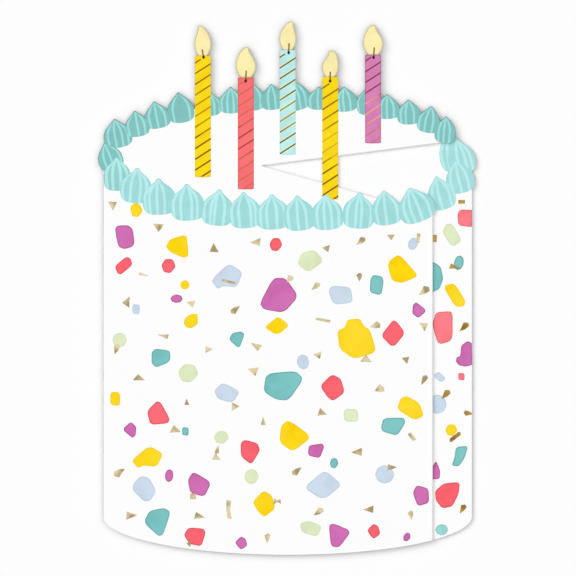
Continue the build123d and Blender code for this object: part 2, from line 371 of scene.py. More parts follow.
# Confetti on the front panel: place from the ring's middle, width and height, all in shares of the
# half width, then turn in degrees and form
FRONT_CONFETTI_SHARES = {
    "yellow": (
        (-0.820, -0.244, 0.064, 0.075, 0, "stone"),
        (-0.599, -0.442, 0.119, 0.119, 0, "fan"),
        (-0.558, -0.650, 0.049, 0.049, 0, "oval"),
        (-0.526, -0.846, 0.075, 0.078, 0, "mitten"),
        (-0.059, -0.871, 0.119, 0.090, 0, "kite"),
        (0.619, -0.564, 0.154, 0.148, 0, "petal"),
        (0.373, -0.942, 0.203, 0.213, 0, "bumped"),
        (-0.936, -1.268, 0.054, 0.075, 0, "tile"),
        (0.044, -1.469, 0.158, 0.158, 0, "gem"),
        (-0.762, -1.583, 0.159, 0.111, 0, "bean"),
        (-0.127, -1.837, 0.114, 0.135, 0, "nugget"),
        (0.666, -1.320, 0.137, 0.125, 0, "drop"),
    ),
    "coral": (
        (-0.890, -0.545, 0.104, 0.058, 42, "capsule"),
        (-0.646, -0.547, 0.073, 0.076, 0, "pebble"),
        (-0.064, -0.431, 0.066, 0.071, 0, "pebble"),
        (0.571, -0.911, 0.116, 0.138, 0, "kite"),
        (-0.704, -1.342, 0.118, 0.125, 0, "cone"),
        (-0.202, -1.558, 0.103, 0.125, 0, "shield"),
        (-0.504, -2.019, 0.113, 0.098, 0, "loaf"),
        (0.245, -1.207, 0.123, 0.137, 0, "nugget"),
        (0.468, -1.986, 0.066, 0.077, 0, "nugget"),
    ),
    "purple": (
        (-0.882, -0.391, 0.103, 0.128, 0, "cushion"),
        (-0.603, -0.725, 0.064, 0.045, 0, "oval"),
        (-0.047, -0.706, 0.195, 0.185, 0, "hexagon"),
        (0.715, -0.787, 0.071, 0.080, 0, "gem"),
        (-0.859, -1.437, 0.068, 0.081, 180, "gem"),
        (-0.643, -1.685, 0.045, 0.069, -6, "oval"),
        (-0.480, -1.731, 0.118, 0.125, 0, "flint"),
        (-0.251, -2.050, 0.062, 0.067, 0, "nugget"),
        (0.155, -1.552, 0.088, 0.074, 6, "boat"),
        (0.724, -1.790, 0.085, 0.107, 0, "block"),
        (0.287, -2.008, 0.109, 0.128, 0, "sail"),
        (0.647, -2.018, 0.037, 0.048, -20, "pebble"),
    ),
    "teal": (
        (-0.687, -1.047, 0.102, 0.097, 0, "flag"),
        (-0.275, -0.949, 0.078, 0.084, 0, "tooth"),
        (0.482, -0.650, 0.071, 0.103, -6, "tile"),
        (-0.555, -1.445, 0.036, 0.045, 0, "tile"),
        (-0.024, -1.197, 0.206, 0.156, 0, "slab"),
        (-0.706, -1.943, 0.134, 0.149, 0, "tooth"),
        (0.573, -1.418, 0.129, 0.094, 0, "boat"),
        (0.252, -1.617, 0.045, 0.054, 0, "pebble"),
    ),
    "pale_blue": (
        (-0.330, -0.602, 0.160, 0.128, 0, "bean"),
        (-0.823, -0.782, 0.041, 0.054, 0, "tile"),
        (0.287, -0.706, 0.128, 0.100, 0, "brick"),
        (0.680, -0.427, 0.052, 0.070, -25, "oval"),
        (0.083, -1.068, 0.066, 0.081, 8, "oval"),
        (-0.330, -1.235, 0.130, 0.100, 0, "shell"),
        (-0.776, -1.757, 0.123, 0.135, 0, "egg"),
        (0.191, -1.735, 0.182, 0.142, 0, "kite"),
        (0.526, -1.678, 0.101, 0.099, 0, "oval"),
    ),
    "pale_green": (
        (-0.912, -0.949, 0.075, 0.078, 0, "oval"),
        (-0.539, -1.129, 0.105, 0.097, 0, "pebble"),
        (0.124, -0.522, 0.130, 0.112, 0, "bud"),
        (-0.359, -1.477, 0.076, 0.069, 0, "pebble"),
        (-0.197, -1.690, 0.075, 0.080, 0, "oval"),
        (0.127, -1.972, 0.114, 0.080, 0, "fin"),
        (0.343, -1.358, 0.078, 0.071, 4, "tile"),
    ),
}

# Confetti of the slice, printed on the inside of the back panel. Some runs on under the front panel.
SLICE_CONFETTI_SHARES = {
    "yellow": (
        (0.909, -0.706, 0.146, 0.065, -57, "capsule"),
        (0.889, -1.438, 0.062, 0.062, 0, "pebble"),
    ),
    "coral": (
        (0.867, -1.792, 0.133, 0.140, 0, "pennant"),
    ),
    "pale_coral": (
        (0.972, -0.288, 0.100, 0.094, 0, "tile"),
        (0.840, -0.882, 0.108, 0.176, 0, "plaque"),
        (0.943, -1.148, 0.035, 0.040, 0, "tile"),
    ),
    "purple": (
        (0.960, -1.024, 0.094, 0.136, 0, "boot"),
        (0.804, -1.655, 0.047, 0.095, 0, "leaf"),
    ),
    "teal": (
        (0.929, -0.530, 0.052, 0.080, -12, "oval"),
        (0.783, -0.608, 0.120, 0.163, 0, "oval"),
        (0.935, -1.580, 0.082, 0.110, 0, "strap"),
    ),
    "pale_teal": (
        (0.836, -1.979, 0.067, 0.060, 0, "oval"),
    ),
    "pale_blue": (
        (0.825, -1.150, 0.060, 0.038, -40, "capsule"),
        (0.810, -1.298, 0.105, 0.103, 0, "oval"),
    ),
    "pale_green": (
        (0.893, -0.380, 0.097, 0.120, 0, "seed"),
    ),
}

# Foil flecks, in the same terms as the confetti
FRONT_FLECK_SHARES = (
    (-0.951, -0.223, 0.049, 0.050, 180, "shard"),
    (-0.703, -0.341, 0.062, 0.045, 176, "shard"),
    (-0.399, -0.448, 0.050, 0.049, 0, "shard"),
    (-0.176, -0.417, 0.046, 0.057, 90, "shard"),
    (-0.780, -0.596, 0.018, 0.058, -105, "shard"),
    (-0.320, -0.633, 0.079, 0.016, -13, "bar"),
    (-0.878, -0.744, 0.062, 0.041, 90, "shard"),
    (-0.522, -0.756, 0.052, 0.036, 190, "shard"),
    (-0.283, -0.783, 0.034, 0.064, 135, "dart"),
    (-0.677, -0.925, 0.026, 0.060, 76, "shard"),
    (-0.929, -0.998, 0.034, 0.060, -14, "dart"),
    (-0.427, -1.001, 0.040, 0.040, -90, "shard"),
    (-0.175, -0.978, 0.041, 0.060, 57, "shard"),
    (-0.183, -1.123, 0.062, 0.046, 190, "shard"),
    (0.010, -0.618, 0.038, 0.046, -35, "dart"),
    (0.205, -0.449, 0.041, 0.041, 80, "shard"),
    (0.396, -0.414, 0.034, 0.062, -45, "dart"),
    (0.560, -0.393, 0.045, 0.032, 184, "shard"),
    (0.708, -0.395, 0.019, 0.052, -8, "bar"),
    (0.389, -0.608, 0.032, 0.047, 6, "dart"),
    (0.151, -0.659, 0.032, 0.060, -45, "dart"),
    (0.739, -0.684, 0.042, 0.070, -45, "dart"),
    (0.192, -0.841, 0.080, 0.016, -11, "bar"),
    (0.474, -0.871, 0.040, 0.062, -68, "dart"),
    (0.739, -0.879, 0.049, 0.046, 180, "shard"),
    (0.160, -1.028, 0.041, 0.041, 80, "shard"),
    (0.425, -1.047, 0.062, 0.044, 0, "shard"),
    (0.642, -1.061, 0.042, 0.038, 190, "shard"),
    (-0.807, -1.151, 0.066, 0.034, 0, "shard"),
    (-0.547, -1.284, 0.027, 0.035, 0, "shard"),
    (-0.612, -1.430, 0.062, 0.042, 6, "shard"),
    (-0.282, -1.311, 0.047, 0.045, -90, "shard"),
    (-0.132, -1.387, 0.028, 0.048, 0, "shard"),
    (-0.381, -1.543, 0.024, 0.052, 170, "dart"),
    (-0.388, -1.581, 0.049, 0.038, 0, "shard"),
    (-0.913, -1.666, 0.042, 0.072, 130, "dart"),
    (-0.846, -1.902, 0.045, 0.059, -90, "shard"),
    (-0.513, -1.797, 0.034, 0.032, 180, "bar"),
    (-0.476, -1.908, 0.040, 0.058, -105, "shard"),
    (-0.319, -1.868, 0.028, 0.102, 2, "wave"),
    (-0.058, -1.824, 0.042, 0.034, 180, "bow"),
    (-0.110, -2.024, 0.032, 0.052, 0, "dart"),
    (-0.534, -2.060, 0.030, 0.026, 190, "shard"),
    (0.739, -1.166, 0.032, 0.062, -25, "dart"),
    (0.497, -1.216, 0.048, 0.054, -60, "dart"),
    (0.183, -1.337, 0.053, 0.042, 10, "shard"),
    (0.674, -1.474, 0.021, 0.052, 40, "bar"),
    (0.374, -1.556, 0.045, 0.060, 90, "shard"),
    (0.050, -1.659, 0.036, 0.064, 135, "dart"),
    (0.568, -1.641, 0.035, 0.054, -92, "shard"),
    (0.437, -1.867, 0.041, 0.058, 90, "shard"),
    (0.167, -1.882, 0.036, 0.064, -48, "dart"),
    (0.669, -1.900, 0.030, 0.054, 14, "dart"),
)
SLICE_FLECK_SHARES = (
    (0.795, -0.398, 0.030, 0.041, 0, "bar"),
    (0.957, -0.879, 0.036, 0.066, -40, "dart"),
    (0.910, -0.555, 0.030, 0.062, -105, "shard"),
    (0.944, -0.199, 0.038, 0.022, 4, "bar"),
    (0.857, -1.246, 0.036, 0.066, -38, "dart"),
    (0.982, -1.347, 0.030, 0.054, 84, "dart"),
    (0.909, -1.475, 0.080, 0.022, 38, "capsule"),
    (0.949, -1.867, 0.032, 0.058, -25, "dart"),
)


def linear(*levels):
    """A colour given in display levels from 0 to 255, as the linear values that shaders take."""
    shares = [level / 255 for level in levels]
    return tuple(s / 12.92 if s <= 0.04045 else ((s + 0.055) / 1.055) ** 2.4 for s in shares)


def colour_property(name, description, levels):
    return FloatVectorProperty(
        name=name, description=description, subtype="COLOR", size=3, min=0, max=1, default=linear(*levels)
    )


def length_property(name, description, default):
    return FloatProperty(
        name=name, description=description, subtype="DISTANCE", unit="LENGTH",
        min=0, default=default, precision=6,
    )


def angle_property(name, description, degrees):
    return FloatProperty(name=name, description=description, subtype="ANGLE", default=radians(degrees))


def share_property(name, description, default):
    return FloatProperty(name=name, description=description, subtype="FACTOR", min=0, max=1, default=default)


class CardPrintSizes(bpy.types.PropertyGroup):
    """Sizes of the print that a user would change."""

    film: length_property("Film", "Height that each printed layer adds", 0.000015)
    front_ridge: length_property("Front ridge", "Width of a ridge on the front and slice icing", 0.00098)
    back_ridge: length_property("Back ridge", "Width of a piped ridge on the back icing", 0.00076)
    front_rim: share_property("Front rim", "Share of a front or slice dollop left as a rim", 0.02)
    # Painted shade: the back rim darkens the edge of each back dollop, along the cut edge and between
    # dollops, partly a printed outline.
    back_rim: share_property("Back rim", "Share of a back dollop left as a rim", 0.04)
    # The same width also serves the painted shadow round each flame.
    print_rim: length_property("Print rim", "Width of the dark edge of a print", 0.00036)
    stripe_pitch: length_property("Stripe pitch", "Distance up the candle from stripe to stripe", 0.00357)
    stripe_width: length_property("Stripe width", "Height of a foil stripe", 0.00056)
    # Painted glint: the pale band under a stripe stands for the foil's shine along its edges.
    stripe_glint: length_property("Stripe line", "Height of a lined stripe with its two pale lines", 0.00130)
    stripe_rise: length_property("Stripe rise", "How far a stripe climbs across the candle", 0.00340)
    wick: length_property("Wick", "Width of the wick's line", 0.00044)
    wick_tip: length_property("Wick tip", "Width of the burnt dot at the wick's foot", 0.00085)
    # Painted shade: width of the grey band that stands for the shadow along the slice's cut.
    lip: length_property("Lip", "Width of the bruised coating beside the slice's cut", 0.00026)
    rounding: FloatProperty(
        name="Rounding", description="Share of each side that a confetti corner takes",
        subtype="PERCENTAGE", min=0, max=50, default=26,
    )
    rounding_steps: IntProperty(
        name="Steps", description="Faces round a confetti corner", min=1, max=8, default=4
    )


class CardColours(bpy.types.PropertyGroup):
    """Colours of the sheet, inks and foils."""

    sheet: colour_property("Sheet", "Coated white card", (253, 253, 253))
    # The core's colour at the real cut edges, and also the colour of the painted shade beside the slice's
    # cut.
    core_and_cut_shade: colour_property("Cut edge", "Uncoated core at the cut edges", (232, 231, 227))
    front_icing: colour_property("Front icing", "Body of the front icing", (160, 220, 218))
    front_ridge: colour_property("Front ridge", "Light ridges of the front icing", (186, 237, 237))
    front_rim: colour_property("Front rim", "Outline of the front icing", (152, 211, 209))
    end_icing: colour_property("End icing", "Body of the front row's first dollop", (149, 209, 206))
    end_ridge: colour_property("End ridge", "Light ridges of the front row's first dollop", (178, 235, 233))
    back_icing: colour_property("Back icing", "Body of the back icing", (130, 193, 191))
    back_ridge: colour_property("Back ridge", "Light ridges of the back icing", (157, 223, 218))
    # Painted shade along the cut edge and between the back dollops, partly the printed outline.
    back_rim: colour_property("Back rim", "Outline of the back icing", (112, 165, 164))
    slice_icing: colour_property("Slice icing", "Body of the icing on the slice", (165, 221, 220))
    slice_ridge: colour_property("Slice ridge", "Light ridges on the slice", (186, 236, 235))
    slice_rim: colour_property("Slice rim", "Outline of the icing on the slice", (154, 212, 210))
    yellow: colour_property("Yellow", "Yellow confetti", (255, 213, 3))
    coral: colour_property("Coral", "Coral confetti", (255, 99, 110))
    purple: colour_property("Purple", "Purple confetti", (205, 106, 176))
    pale_coral: colour_property("Pale coral", "Paler coral confetti of the slice", (255, 122, 132))
    teal: colour_property("Teal", "Teal confetti", (120, 193, 192))
    pale_teal: colour_property("Pale teal", "Paler teal confetti of the slice", (154, 215, 211))
    pale_blue: colour_property("Pale blue", "Pale blue confetti", (201, 216, 232))
    candle_yellow: colour_property("Candle yellow", "First and fourth candle", (255, 217, 22))
    candle_coral: colour_property("Candle coral", "Second candle", (255, 113, 118))
    candle_blue: colour_property("Candle blue", "Third candle", (187, 236, 235))
    candle_purple: colour_property("Candle purple", "Fifth candle", (213, 128, 183))
    pale_green: colour_property("Pale green", "Pale green confetti", (219, 231, 191))
    flame: colour_property("Flame", "Body of a flame", (252, 237, 174))
    # Painted shadow: the flame rim stands in for the shadow of the die-cut edge round each flame.
    flame_rim: colour_property("Flame rim", "Outline of a flame", (212, 203, 158))
    wick: colour_property("Wick", "Burnt wick", (52, 32, 10))
    wick_line: colour_property("Wick line", "Foil line of the wick", (122, 104, 42))
    # Painted reflection: the two fleck foil tones stand for where the foil catches the light and where it
    # turns away from it.
    foil_pale: colour_property("Pale foil", "Foil where it catches the light", (224, 209, 168))
    foil_deep: colour_property("Deep foil", "Foil where it turns away from the light", (170, 148, 106))
    # Painted reflection on the slice's flecks, in the same way.
    slice_foil_pale: colour_property("Pale slice foil", "Lighter foil of the slice", (190, 154, 80))
    slice_foil_deep: colour_property("Deep slice foil", "Darker foil of the slice", (150, 112, 46))
    # The gold, copper, olive and rose foils are painted reflection: their light and dark bands up each candle
    # stand for where the foil catches the light.
    gold: colour_property("Gold", "Middling foil on the yellow candles", (158, 114, 4))
    gold_soft: colour_property("Soft gold", "Lighter foil on the first candle", (190, 148, 14))
    gold_pale: colour_property("Pale gold", "Lightest foil on the fourth candle", (220, 182, 40))
    gold_deep: colour_property("Deep gold", "Darkest foil on the yellow candles", (130, 90, 2))
    copper_pale: colour_property("Pale copper", "Lighter foil on the coral candle", (206, 114, 78))
    copper_deep: colour_property("Deep copper", "Darker foil on the coral candle", (176, 78, 46))
    olive_pale: colour_property("Pale olive", "Lighter foil on the blue candle", (152, 146, 84))
    olive_deep: colour_property("Deep olive", "Darker foil on the blue candle", (112, 104, 48))
    rose: colour_property("Rose", "Middling foil on the purple candle", (206, 124, 106))
    rose_pale: colour_property("Pale rose", "Lightest foil on the purple candle", (234, 164, 138))
    rose_deep: colour_property("Deep rose", "Darkest foil on the purple candle", (150, 66, 68))
    # Painted glint: colour of the pale band that stands for the foil's shine beside a stripe.
    stripe_glint: colour_property("Stripe line", "Pale lines beside a stripe", (218, 240, 208))


class CardStage(bpy.types.PropertyGroup):
    """Light, floor and camera."""

    sky: FloatProperty(name="Sky", description="Strength of the light from above", min=0, default=0.975)
    sky_low: share_property("Sky foot", "Height below which no light comes in", 0.25)
    sky_high: share_property("Sky top", "Height above which the light is even", 0.5)
    key: FloatProperty(name="Key", description="Strength of the soft key light", min=0, default=0.91)
    key_spread: angle_property("Key spread", "Angle that the key light covers", 34)
    key_height: angle_property("Key height", "Angle of the key light above the floor", 36)
    key_turn: angle_property("Key turn", "Angle of the key light left of the top", 60)
    floor: colour_property("Floor", "Plain floor", (253, 253, 253))
    floor_unseen: colour_property("Floor bounce", "What the floor throws back on the card", (120, 120, 120))
    floor_size: length_property("Floor size", "Side of the square floor", 4.0)
    floor_depth: length_property("Floor depth", "Thickness of the floor slab", 0.01)
    floor_gap: length_property("Floor gap", "Air between the card and the floor", 0.0006)
    lens: FloatProperty(name="Lens", description="Focal length in millimetres", min=1, default=200)
    camera_height: length_property("Camera height", "Camera above the back of the card", 1.067)
    camera_across: length_property("Camera across", "Camera to the right of the cake's middle", 0.00011)
    camera_down: length_property("Camera down", "Camera below the card's middle", 0.00002)


class CakeFrame:
    """Where the cake and its two printed faces lie, read from the card's mesh."""

    def __init__(self, mesh):
        sides = [vertex.co.x for vertex in mesh.vertices if vertex.co.y < 0]
        self.half_width = (max(sides) - min(sides)) / 2
        self.middle = (max(sides) + min(sides)) / 2
        self.ring_up = CAD_LOW.y + BOTTOM_DROP + CAKE_HEIGHT
        self.right_side = max(sides)
        split = CAD_HIGH.z / 2
        bend_side = self.middle - CLEAR_OF_BEND_SHARE * self.half_width
        upward = [face for face in mesh.polygons if face.normal.z > UPWARD_NORMAL]
        front = [mesh.vertices[i].co for face in upward if face.center.z > split for i in face.vertices]
        front = [point for point in front if point.x > bend_side]
        left = min(front, key=lambda point: point.x)
        right = max(front, key=lambda point: point.x)
        slope = (right.z - left.z) / (right.x - left.x)
        self.front_tilt = atan(slope)
        self.front_height = left.z - slope * left.x
        self.slice_height = max(face.center.z for face in upward if face.center.z < split)

    def point(self, across_share, up_share):
        """A point on a panel, in shares of the half width from the middle of the icing ring."""
        across = self.middle + across_share * self.half_width
        return Vector((across, self.ring_up + up_share * self.half_width, 0))


CAKE = CakeFrame(CARD.data)


def choose(*pieces):
    """Selects these pieces alone and makes the first one active."""
    bpy.ops.object.select_all(action="DESELECT")
    for piece in pieces:
        piece.select_set(True)
    bpy.context.view_layer.objects.active = pieces[0]


def start_edit(piece):
    """Opens a piece for editing with all of it selected."""
    choose(piece)
    bpy.ops.object.mode_set(mode="EDIT")
    bpy.ops.mesh.select_all(action="SELECT")


def end_edit():
    bpy.ops.object.mode_set(mode="OBJECT")


def flat_face(points):
    """A flat face inside an outline: a filled circle whose rim is moved to the outline's points."""
    bpy.ops.object.select_all(action="DESELECT")
    bpy.ops.mesh.primitive_circle_add(vertices=len(points), fill_type="NGON")
    face = bpy.context.object
    for vertex, point in zip(face.data.vertices, points):
        vertex.co = point
    return face


def joined(pieces):
    """Joins pieces into the first of them."""
    choose(*pieces)
    if len(pieces) > 1:
        bpy.ops.object.join()
    return bpy.context.object


def raise_film(piece, height):
    """Extrudes a piece's flat faces into a closed film."""
    start_edit(piece)
    bpy.ops.mesh.extrude_region_move(TRANSFORM_OT_translate={"value": (0, 0, height)})
    bpy.ops.mesh.select_all(action="SELECT")
    bpy.ops.mesh.normals_make_consistent(inside=False)
    end_edit()
    return piece


def inset_rim(piece, rim_width):
    """Insets the upper faces of a film, so that its second material lies inside a rim of its first."""
    choose(piece)
    bpy.ops.object.mode_set(mode="EDIT")
    bpy.ops.mesh.select_all(action="DESELECT")
    end_edit()
    for face in piece.data.polygons:
        face.select = face.normal.z > UPWARD_NORMAL
    bpy.ops.object.mode_set(mode="EDIT")
    bpy.ops.mesh.inset(thickness=rim_width, use_individual=True)
    piece.active_material_index = 1
    bpy.ops.object.material_slot_assign()
    end_edit()


def fuse(piece):
    """Makes one film of films that overlap."""
    start_edit(piece)
    bpy.ops.mesh.intersect_boolean(operation="UNION", use_self=True, solver="EXACT")
    end_edit()
    return piece


def keep_side(piece, point, outward):
    """Cuts flat faces along a plane and drops what lies outside it."""
    start_edit(piece)
    bpy.ops.mesh.bisect(plane_co=point, plane_no=outward, clear_outer=True)
    end_edit()


def cutter_from(points):
    """A block with this outline that reaches above and below a film."""
    block = raise_film(flat_face(points), 2 * CUTTER_REACH)
    block.location.z = -CUTTER_REACH
    return block


def cut(piece, points, operation):
    """Trims a film by an outline."""
    block = cutter_from(points)
    choose(piece)
    modifier = piece.modifiers.new("Trim", "BOOLEAN")
    modifier.operation = operation
    modifier.solver = "EXACT"
    modifier.use_self = True
    modifier.object = block
    bpy.ops.object.modifier_apply(modifier=modifier.name)
    bpy.data.objects.remove(block)


def apply_place(piece):
    """Takes a piece's place, turn and size into its mesh."""
    choose(piece)
    bpy.ops.object.transform_apply(location=True, rotation=True, scale=True)
    return piece


def lay_on_front(piece):
    """Lays a film that was drawn flat on the front panel."""
    piece.rotation_euler = (0, -CAKE.front_tilt, 0)
    piece.location = (0, 0, CAKE.front_height)
    return apply_place(piece)


def lay_on_slice(piece):
    """Lays a film that was drawn flat on the inside of the back panel."""
    piece.location = (0, 0, CAKE.slice_height)
    return apply_place(piece)


def print_on_front(faces, layers, film):
    """Raises flat faces by a number of films and lays them on the front panel."""
    return lay_on_front(raise_film(faces, layers * film))


def print_on_slice(faces, layers, film):
    """Does the same on the inside of the back panel, cut off at the card's right side."""
    keep_side(faces, (CAKE.right_side, 0, 0), (1, 0, 0))
    return lay_on_slice(raise_film(faces, layers * film))


def finish_piece(piece, name, *materials):
    """Names a film, gives it its materials and fixes it to the card."""
    piece.name = name
    piece.data.name = name
    piece.data.materials.clear()
    for material in materials:
        piece.data.materials.append(material)
    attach(piece, BODY)
    return piece


def flat_points(*places):
    """Points on a flat panel, before it is laid in its place."""
    return [Vector((across, up, 0)) for across, up in places]


def curve(controls, count=CURVE_POINTS):
    """Points along a curve that is given by its four controls."""
    return [Vector(point) for point in interpolate_bezier(*controls, count)]


def ribbon(path, width, start_share=1.0):
    """Outline of a band along a path, which widens from a share of its width to all of it by halfway."""
    left, right = [], []
    for i, point in enumerate(path):
        along = path[min(i + 1, len(path) - 1)] - path[max(i - 1, 0)]
        reach = i / (len(path) - 1)
        half = width / 2 * (start_share + (1 - start_share) * min(2 * reach, 1))
        side = Vector((-along.y, along.x, 0)).normalized() * half
        left.append(point + side)
        right.append(point - side)
    return left + right[::-1]


class Dollop:
    """One dollop of piped icing: its outline, and the ridges that run from its tip to its foot."""

    flank_shares = DOLLOP_FLANK_SHARES
    foot_shares = DOLLOP_FOOT_SHARES
    tip_shares = DOLLOP_TIP_SHARES

    def __init__(self, tip_across, tip_up, foot_across, foot_up, width_share, ridges):
        self.foot = CAKE.point(foot_across, foot_up)
        self.rise = CAKE.point(tip_across, tip_up) - self.foot
        across = Vector((self.rise.y, -self.rise.x, 0)).normalized()
        self.side = across * (width_share * CAKE.half_width)
        self.ridges = ridges

    def point(self, u, v, shrink=0.0):
        return self.foot + self.side * (u * (1 - shrink)) + self.rise * (v * (1 - shrink))

    def side_curve(self, shares, side, shrink=0.0):
        return curve([self.point(side * u, v, shrink) for u, v in shares])

    def outline(self, shrink=0.0):
        sides = []
        for side in (1, -1):
            flank = self.side_curve(self.flank_shares, side, shrink)
            sides.append(flank + self.side_curve(self.foot_shares, side, shrink)[1:])
        right, left = sides
        tip = curve([self.point(u, v, shrink) for u, v in self.tip_shares], TIP_POINTS)[1:-1]
        return right + left[-2::-1] + tip

    def ridge(self, offset_share, width):
        """Outline of one ridge, which follows the flank at a share of its distance from the middle."""
        foot_u, foot_v = RIDGE_FOOT_SHARES
        path = self.side_curve(self.flank_shares, offset_share)
        path.append(self.point(offset_share * foot_u, foot_v))
        return ribbon(path, width, RIDGE_START_SHARE)

    def near(self, other):
        """Whether another dollop may cover part of this one."""
        return (self.foot - other.foot).length < self.side.length + other.side.length


class BroadDollop(Dollop):
    """A dollop of the front row."""

    flank_shares = BROAD_FLANK_SHARES
    foot_shares = BROAD_FOOT_SHARES
    tip_shares = BROAD_TIP_SHARES


def icing_ridges(dollops, ridge_width, height, rim_share):
    """The light ridges of a row of icing, each cut where a later dollop covers it."""
    films = []
    for i, dollop in enumerate(dollops):
        faces = [flat_face(dollop.ridge(offset, ridge_width)) for offset in dollop.ridges]
        film = raise_film(joined(faces), height)
        cut(film, dollop.outline(rim_share), "INTERSECT")
        for cover in dollops[i + 1:]:
            if dollop.near(cover):
                cut(film, cover.outline(), "DIFFERENCE")
        films.append(film)
    return joined(films)


def icing_films(dollops, ridge_width, rim_share, film, first_layer):
    """A row of icing in three films: the rim, the body inside it and the ridges on the body."""
    rims = [flat_face(dollop.outline()) for dollop in dollops]
    bodies = [flat_face(dollop.outline(rim_share)) for dollop in dollops]
    rim = fuse(raise_film(joined(rims), first_layer * film))
    body = fuse(raise_film(joined(bodies), (first_layer + 1) * film))
    ridges = icing_ridges(dollops, ridge_width, (first_layer + 2) * film, rim_share)
    return rim, body, ridges


def cut_shade_outline(width):
    """A band of painted shade on the front panel beside the slice's cut: above the wedge, round its point,
    below it and down the left of the strip."""
    back_slope, front_slope = tan(SLICE_BACK_ANGLE), tan(SLICE_FRONT_ANGLE)
    point = Vector((CAKE.middle - SLICE_POINT_OFFSET, CAKE.ring_up - SLICE_POINT_DROP, 0))
    back_run = CAKE.middle + SLICE_REACH_SHARE * CAKE.half_width - point.x
    front_run = CAKE.right_side - SLICE_SIDE_WIDTH - point.x
    back_end = point + Vector((back_run, back_run * back_slope, 0))
    front_end = point + Vector((front_run, -front_run * front_slope, 0))
    strip_share = (front_end.x - CAKE.middle) / CAKE.half_width
    bottom = CAD_LOW.y + BOTTOM_DROP * (1 - (1 - strip_share ** 2) ** 0.5)
    strip_end = Vector((front_end.x, bottom, 0))
    outer = (
        strip_end + Vector((-width, 0, 0)),
        front_end + Vector((-width, width * (front_slope - 1), 0)),
        point + Vector((-width, width * (front_slope - 1), 0)),
        point + Vector((-width, width * (1 - back_slope), 0)),
        back_end + Vector((0, width, 0)),
    )
    return [back_end, point, front_end, strip_end, *outer]


def chip_face(across, up, wide, tall, turn, form, sizes=None):
    """One fleck, or one piece of confetti with round corners where sizes are given."""
    piece = flat_face(flat_points(*CHIP_FORM_SHARES[form]))
    if sizes:
        start_edit(piece)
        bpy.ops.mesh.bevel(
            offset_type="PERCENT", offset_pct=sizes.rounding, segments=sizes.rounding_steps, affect="VERTICES"
        )
        end_edit()
    piece.data.update()
    bpy.context.view_layer.update()
    piece.dimensions = (wide * CAKE.half_width, tall * CAKE.half_width, 0)
    piece.rotation_euler = (0, 0, radians(turn))
    piece.location = CAKE.point(across, up)
    return apply_place(piece)


def chip_faces(rows, sizes=None):
    """Flecks, or confetti where sizes are given, as flat faces of one piece."""
    return joined([chip_face(*row, sizes) for row in rows])


class Candle:
    """One candle: where it stands on the front panel, and the outlines of what is printed with it."""

    def __init__(self, middle_share, foot_share, top_share):
        self.middle = CAKE.middle + middle_share * CAKE.half_width
        self.left = self.middle - CANDLE_WIDTH / 2
        self.right = self.middle + CANDLE_WIDTH / 2
        self.foot = CAKE.ring_up + foot_share * CANDLE_RISE
        self.top = CAKE.ring_up + top_share * CANDLE_RISE

    def outline(self):
        """Square shoulders and a slightly round foot."""
        sag = self.foot - CANDLE_FOOT_SAG_SHARE * CANDLE_WIDTH
        base = ((self.right, self.foot), (self.right, sag), (self.left, sag), (self.left, self.foot))
        shoulders = flat_points((self.left, self.top), (self.right, self.top))
        return shoulders + curve(flat_points(*base))

    def stripes(self, start_share, first_reach, width, sizes):
        """Slanted stripes, cut at the candle's top and foot."""
        count = ceil((self.top - self.foot + sizes.stripe_rise) / sizes.stripe_pitch)
        faces = []
        for i in range(count):
            low = self.top - (i + start_share) * sizes.stripe_pitch + (sizes.stripe_width - width) / 2
            reach = first_reach if i == 0 else 1
            right = self.left + reach * CANDLE_WIDTH
            high = low + reach * sizes.stripe_rise
            corners = ((self.left, low), (right, high), (right, high + width), (self.left, low + width))
            faces.append(flat_face(flat_points(*corners)))
        stripes = joined(faces)
        keep_side(stripes, (0, self.top, 0), (0, 1, 0))
        keep_side(stripes, (0, self.foot, 0), (0, -1, 0))
        return stripes

    def flame(self, width_share, height_share, tip_share, breadth_share, side):
        """Outline of the candle's flame, a drop with a bent tip."""
        points = []
        for shares in FLAME_CURVE_SHARES:
            controls = []
            for u, v, lean, spread in shares:
                across = side * (u + lean * tip_share + spread * breadth_share) * width_share * FLAME_WIDTH
                up = self.top + v * height_share * FLAME_HEIGHT
                controls.append(Vector((self.middle + across, up, 0)))
            points.extend(curve(controls)[:-1])
        points.append(controls[-1])
        return points

    def wick(self, *shares):
        """Foot and top of the candle's wick."""
        top_lean, foot_lean, rise, sink = [share * CANDLE_WIDTH for share in shares]
        foot = (self.middle + foot_lean, self.top - sink)
        return flat_points(foot, (self.middle + top_lean, self.top + rise))


CANDLES = [Candle(*row) for row in CANDLE_SHARES]


def oval_outline(middle, width, height):
    """Points round an upright oval."""
    turns = [2 * pi * i / OVAL_POINTS for i in range(OVAL_POINTS)]
    return [middle + Vector((width / 2 * sin(turn), height / 2 * cos(turn), 0)) for turn in turns]


def new_material(name):
    """A material with its node tree, its shader and its object coordinates."""
    material = bpy.data.materials.new(name)
    material.use_nodes = True
    tree = material.node_tree
    shader = tree.nodes["Principled BSDF"]
    place = tree.nodes.new("ShaderNodeTexCoord").outputs["Object"]
    return material, tree, shader, place


def add_noise(tree, place, scale, detail):
    noise = tree.nodes.new("ShaderNodeTexNoise")
    noise.inputs["Scale"].default_value = scale
    noise.inputs["Detail"].default_value = detail
    tree.links.new(place, noise.inputs["Vector"])
    return noise.outputs["Fac"]


